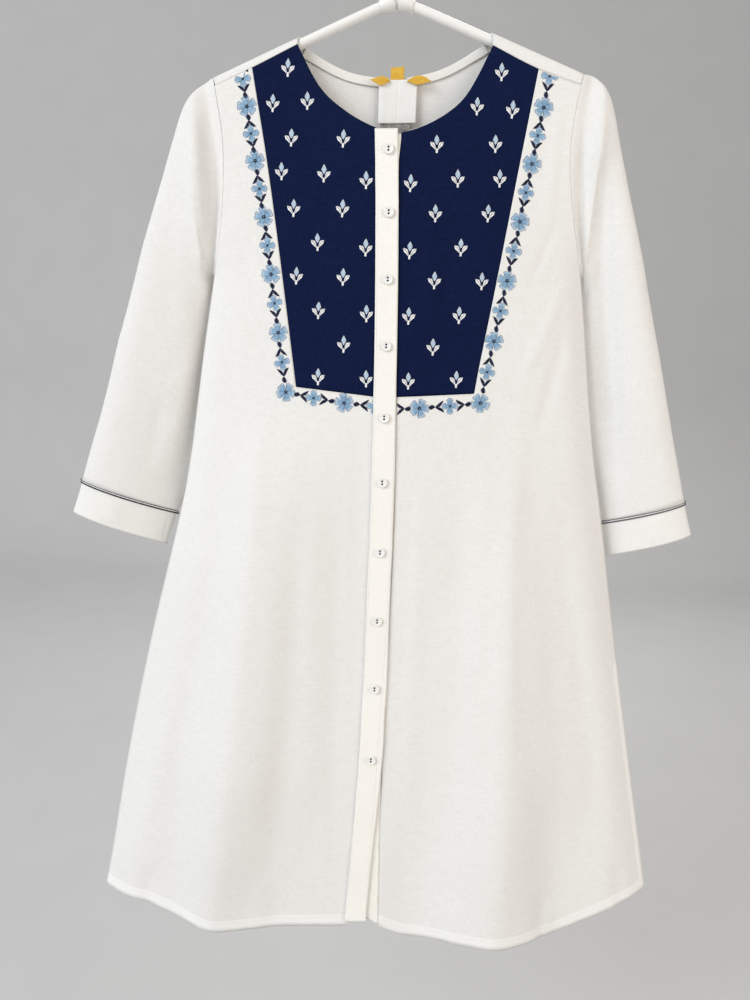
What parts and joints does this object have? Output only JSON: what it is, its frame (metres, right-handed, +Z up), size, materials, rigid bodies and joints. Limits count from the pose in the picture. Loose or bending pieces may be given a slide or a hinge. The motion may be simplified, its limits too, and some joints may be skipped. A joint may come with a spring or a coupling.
{
  "type": "kurta tunic on a hanger",
  "caption": "Button-through A-line kurta tunic with a navy yoke inset, embroidered border and three-quarter sleeves, hung on a plain tube hanger.",
  "frame": {"origin": "inner top of the hanger's hook, where a rail carries it", "axes": "+Z up, -Y out of the tunic's front, +X toward the wearer's left sleeve"},
  "size_m": [0.683, 0.103, 1.1084],
  "materials": {
    "off_white_cloth": "matte plain-weave linen-cotton, off-white",
    "cream_placket_cloth": "matte, double cloth, cream",
    "navy_yoke_cloth": "matte plain weave, navy, with embroidered sprigs",
    "navy_trim_cord": "navy and pale corded braid",
    "yellow_label_tape": "woven satin tape, mustard yellow, bare",
    "white_label_tape": "soft white tape, bare",
    "grey_label_tape": "grey woven tape, bare",
    "white_button": "semi-gloss white",
    "white_hanger_plastic": "smooth glossy white"
  },
  "bodies": {
    "root": {"front_right": "off_white_cloth", "front_left": "off_white_cloth", "back": "off_white_cloth", "yoke_right": "navy_yoke_cloth", "yoke_left": "navy_yoke_cloth", "sleeve_right": "off_white_cloth", "sleeve_left": "off_white_cloth", "cuff_right": "off_white_cloth", "cuff_left": "off_white_cloth", "cuff_trim_right": "navy_trim_cord", "cuff_trim_left": "navy_trim_cord", "neck_band_right": "off_white_cloth", "neck_band_left": "off_white_cloth", "neck_band_back": "off_white_cloth", "placket_over": "cream_placket_cloth", "placket_under": "cream_placket_cloth", "neck_label": "yellow_label_tape", "label_loop": "yellow_label_tape", "care_label": "grey_label_tape", "size_strip": "white_label_tape", "button_01": "white_button", "button_02": "white_button", "button_03": "white_button", "button_04": "white_button", "button_05": "white_button", "button_06": "white_button", "button_07": "white_button", "button_08": "white_button", "button_09": "white_button", "button_10": "white_button", "hanger_arms": "white_hanger_plastic", "hanger_hook": "white_hanger_plastic"}
  },
  "joints": []
}
